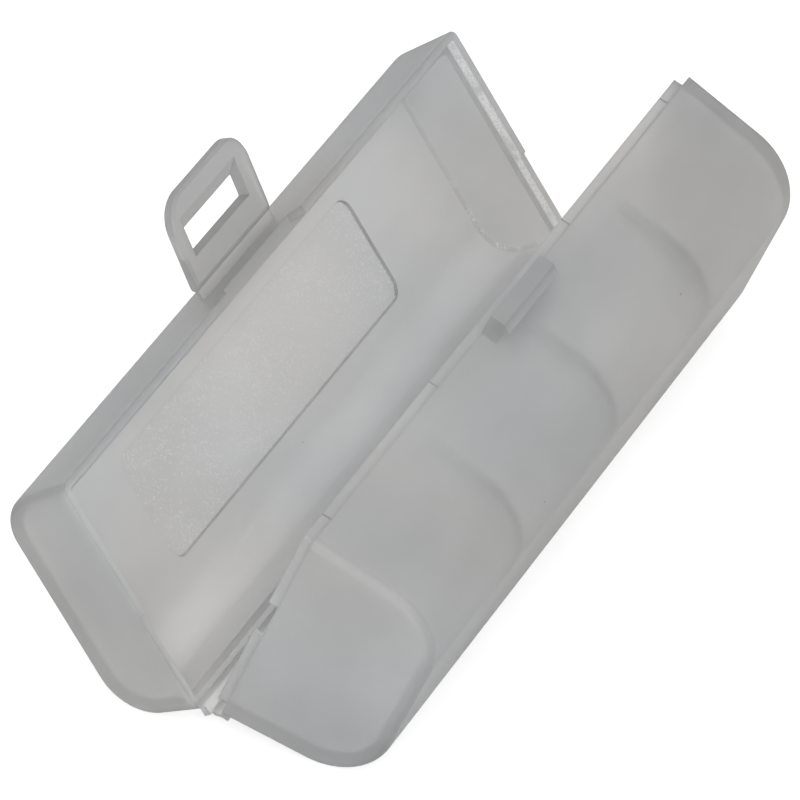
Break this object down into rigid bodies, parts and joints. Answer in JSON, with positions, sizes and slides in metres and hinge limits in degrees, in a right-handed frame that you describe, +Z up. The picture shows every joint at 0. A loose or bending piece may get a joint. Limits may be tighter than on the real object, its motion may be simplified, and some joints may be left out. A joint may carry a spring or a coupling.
{
  "type": "battery storage box",
  "caption": "Translucent rectangular storage box for a cylindrical cell, with a film-hinged lid, tongue rim, cradle ribs and a windowed latch flap that folds over a hook.",
  "frame": {"origin": "centre of the footprint, on the surface the half-open box stands on", "axes": "+X along the box and its hinge line, +Y towards the lid side, +Z up"},
  "size_m": [0.077, 0.0416, 0.03],
  "materials": {
    "base_tray": "translucent satin polypropylene",
    "hinge_film": "translucent satin polypropylene",
    "lid_shell": "translucent satin polypropylene",
    "latch_film": "translucent satin polypropylene",
    "latch_flap": "translucent satin polypropylene"
  },
  "bodies": {
    "base": {"base_tray": "base_tray", "hinge_film": "hinge_film"},
    "lid": {"lid_shell": "lid_shell", "latch_film": "latch_film"},
    "flap": {"latch_flap": "latch_flap"}
  },
  "joints": [
    {"name": "lid_hinge", "type": "hinge", "parent": "base", "child": "lid", "pos_m": [0, -0.0001, 0.0012], "axis": [1, 0, 0], "range_deg": [-124.7, 55.3], "deforming": ["hinge_film"]},
    {"name": "latch_hinge", "type": "hinge", "parent": "lid", "child": "flap", "pos_m": [0, 0.01696, 0.02179], "axis": [1, 0, 0], "range_deg": [-55, 80], "deforming": ["latch_film"]}
  ]
}
